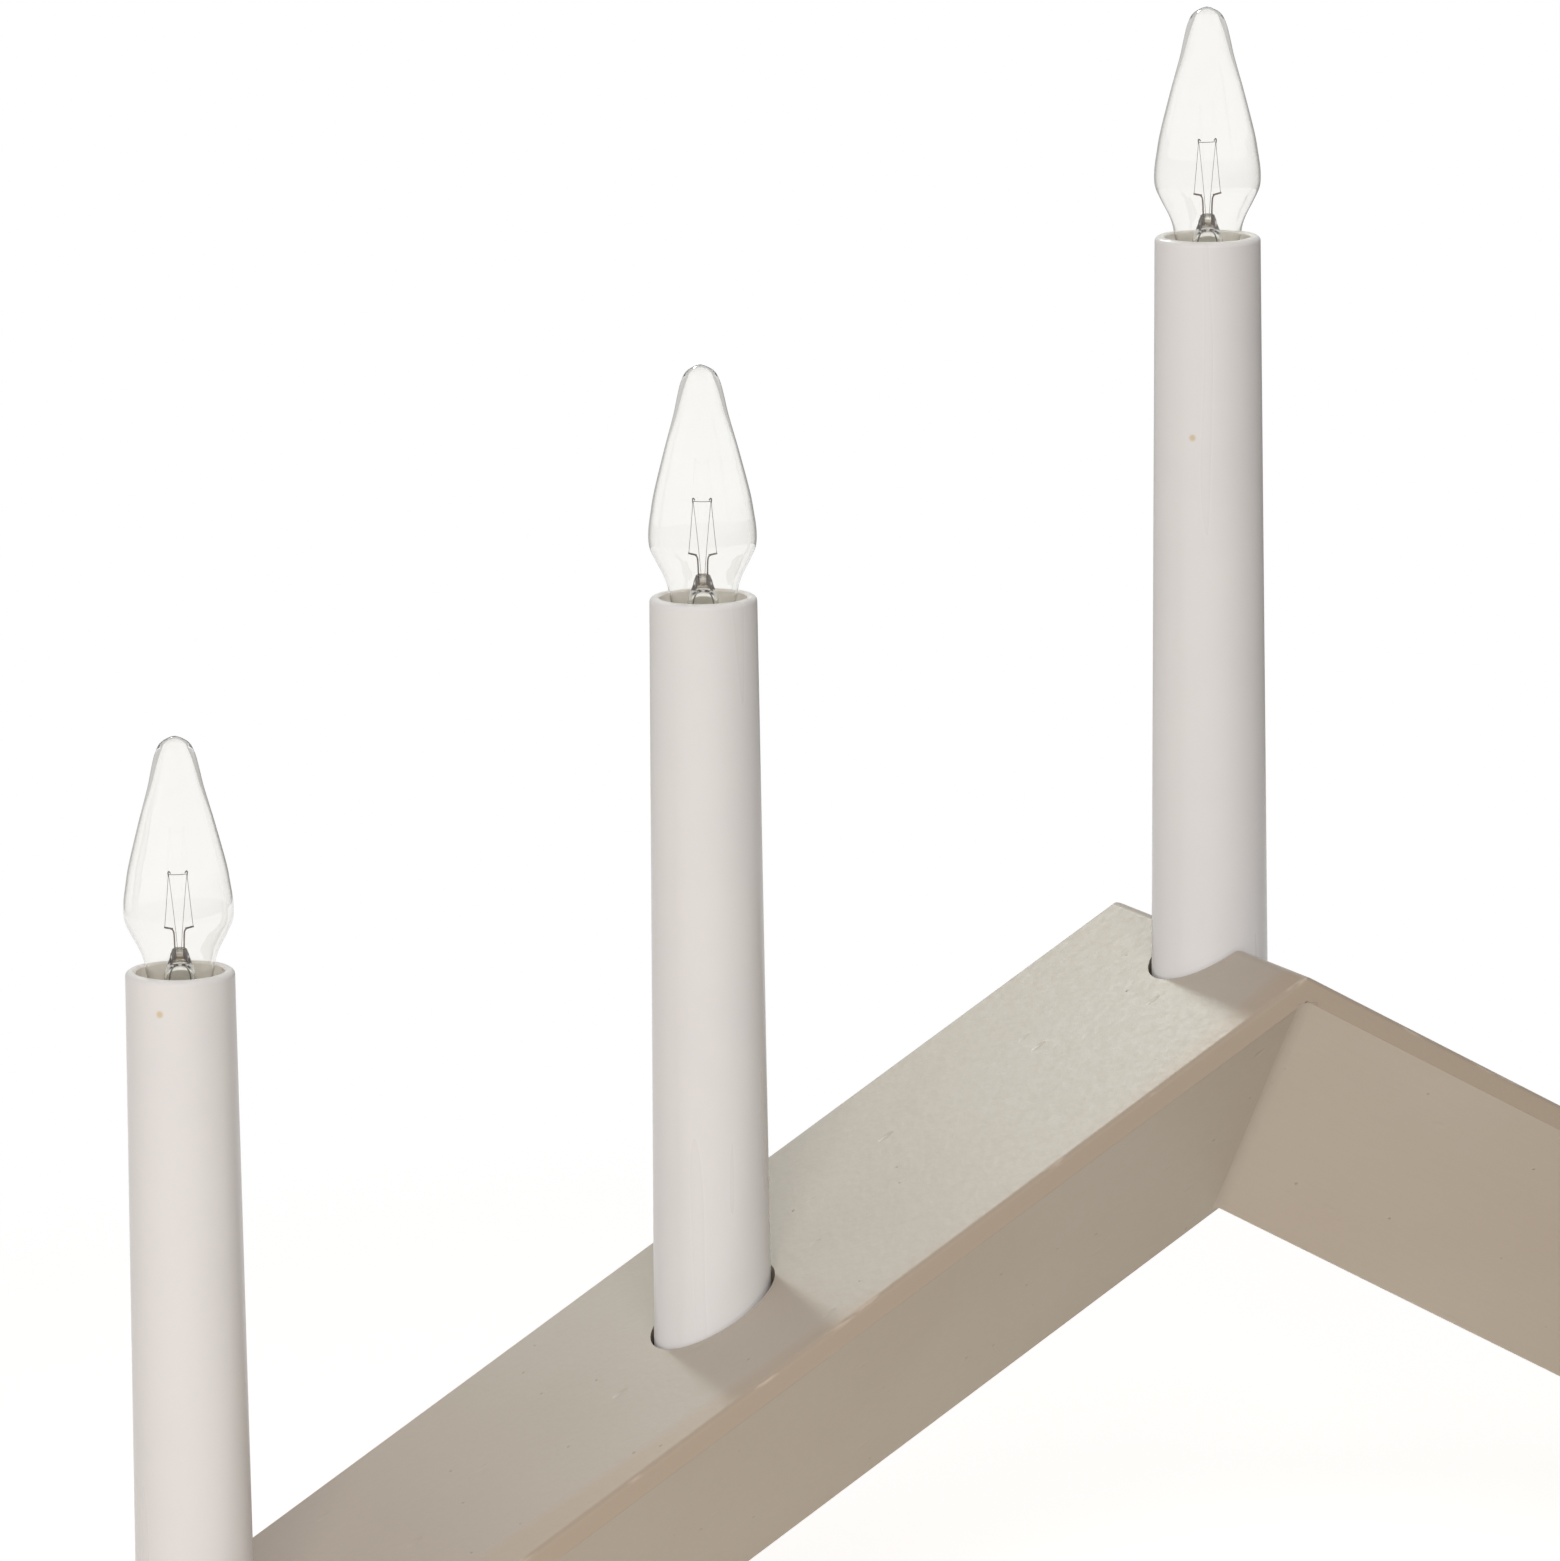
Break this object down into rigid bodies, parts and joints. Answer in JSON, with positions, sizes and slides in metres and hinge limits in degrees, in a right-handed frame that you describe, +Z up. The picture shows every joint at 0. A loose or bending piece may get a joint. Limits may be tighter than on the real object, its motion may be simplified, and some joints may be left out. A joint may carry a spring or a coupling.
{
  "type": "electric candelabra",
  "caption": "Inverted-V electric candelabra: hollow lacquered arms carrying upright candle tubes with clear screw-in candle bulbs.",
  "frame": {"origin": "on the table, below the middle of the ridge", "axes": "+X along the V from the left arm to the right arm, +Y to the back, +Z up"},
  "size_m": [0.5248, 0.074, 0.319],
  "materials": {
    "greige_lacquer": "satin lacquer over sanded wood",
    "bare_wood": "sawn",
    "candle_plastic": "satin moulded",
    "socket_plastic": "moulded",
    "brass": "rolled",
    "bulb_glass": "clear blown",
    "lead_nickel": "drawn",
    "wire_sleeve": "extruded",
    "screw_steel": "plated",
    "grommet_rubber": "moulded",
    "felt": "pressed felt"
  },
  "bodies": {
    "frame": {"left_top_board": "greige_lacquer", "right_top_board": "greige_lacquer", "left_front_panel": "greige_lacquer", "right_front_panel": "greige_lacquer", "left_back_panel": "greige_lacquer", "right_back_panel": "greige_lacquer", "left_keel_rail": "greige_lacquer", "right_keel_rail": "greige_lacquer", "left_foot_block": "bare_wood", "right_foot_block": "bare_wood", "left_foot_cover": "greige_lacquer", "right_foot_cover": "greige_lacquer", "felt_pads": "felt", "cover_screws": "screw_steel", "cord_grommet": "grommet_rubber", "terminal_block": "socket_plastic", "link_wires": "wire_sleeve", "feed_wires": "wire_sleeve", "candle_cup_1": "candle_plastic", "candle_cup_2": "candle_plastic", "candle_cup_3": "candle_plastic", "candle_cup_4": "candle_plastic", "candle_cup_5": "candle_plastic", "candle_tube_1": "candle_plastic", "candle_tube_2": "candle_plastic", "candle_tube_3": "candle_plastic", "candle_tube_4": "candle_plastic", "candle_tube_5": "candle_plastic", "socket_body_1": "socket_plastic", "socket_body_2": "socket_plastic", "socket_body_3": "socket_plastic", "socket_body_4": "socket_plastic", "socket_body_5": "socket_plastic", "socket_shell_1": "brass", "socket_shell_2": "brass", "socket_shell_3": "brass", "socket_shell_4": "brass", "socket_shell_5": "brass"},
    "contact_1": {"contact_tongue_1": "brass"},
    "bulb_1": {"bulb_cap_1": "brass", "bulb_glass_1": "bulb_glass", "bulb_filament_1": "lead_nickel"},
    "contact_2": {"contact_tongue_2": "brass"},
    "bulb_2": {"bulb_cap_2": "brass", "bulb_glass_2": "bulb_glass", "bulb_filament_2": "lead_nickel"},
    "contact_3": {"contact_tongue_3": "brass"},
    "bulb_3": {"bulb_cap_3": "brass", "bulb_glass_3": "bulb_glass", "bulb_filament_3": "lead_nickel"},
    "contact_4": {"contact_tongue_4": "brass"},
    "bulb_4": {"bulb_cap_4": "brass", "bulb_glass_4": "bulb_glass", "bulb_filament_4": "lead_nickel"},
    "contact_5": {"contact_tongue_5": "brass"},
    "bulb_5": {"bulb_cap_5": "brass", "bulb_glass_5": "bulb_glass", "bulb_filament_5": "lead_nickel"}
  },
  "joints": [
    {"name": "bulb_lift_1", "type": "slide", "parent": "frame", "child": "contact_1", "axis": [0, 0, 1], "range_m": [0, 0.00181]},
    {"name": "bulb_turn_1", "type": "hinge", "parent": "contact_1", "child": "bulb_1", "pos_m": [-0.2, 0, 0.1568], "axis": [0, 0, 1], "range_deg": [0, 360]},
    {"name": "bulb_lift_2", "type": "slide", "parent": "frame", "child": "contact_2", "axis": [0, 0, 1], "range_m": [0, 0.00181]},
    {"name": "bulb_turn_2", "type": "hinge", "parent": "contact_2", "child": "bulb_2", "pos_m": [-0.1, 0, 0.21338], "axis": [0, 0, 1], "range_deg": [0, 360]},
    {"name": "bulb_lift_3", "type": "slide", "parent": "frame", "child": "contact_3", "axis": [0, 0, 1], "range_m": [0, 0.00181]},
    {"name": "bulb_turn_3", "type": "hinge", "parent": "contact_3", "child": "bulb_3", "pos_m": [0, 0, 0.26996], "axis": [0, 0, 1], "range_deg": [0, 360]},
    {"name": "bulb_lift_4", "type": "slide", "parent": "frame", "child": "contact_4", "axis": [0, 0, 1], "range_m": [0, 0.00181]},
    {"name": "bulb_turn_4", "type": "hinge", "parent": "contact_4", "child": "bulb_4", "pos_m": [0.1, 0, 0.21338], "axis": [0, 0, 1], "range_deg": [0, 360]},
    {"name": "bulb_lift_5", "type": "slide", "parent": "frame", "child": "contact_5", "axis": [0, 0, 1], "range_m": [0, 0.00181]},
    {"name": "bulb_turn_5", "type": "hinge", "parent": "contact_5", "child": "bulb_5", "pos_m": [0.2, 0, 0.1568], "axis": [0, 0, 1], "range_deg": [0, 360]}
  ],
  "couplings": [
    {"joint": "bulb_lift_1", "follows": "bulb_turn_1", "m_per_rad": 0.00028871},
    {"joint": "bulb_lift_2", "follows": "bulb_turn_2", "m_per_rad": 0.00028871},
    {"joint": "bulb_lift_3", "follows": "bulb_turn_3", "m_per_rad": 0.00028871},
    {"joint": "bulb_lift_4", "follows": "bulb_turn_4", "m_per_rad": 0.00028871},
    {"joint": "bulb_lift_5", "follows": "bulb_turn_5", "m_per_rad": 0.00028871}
  ]
}
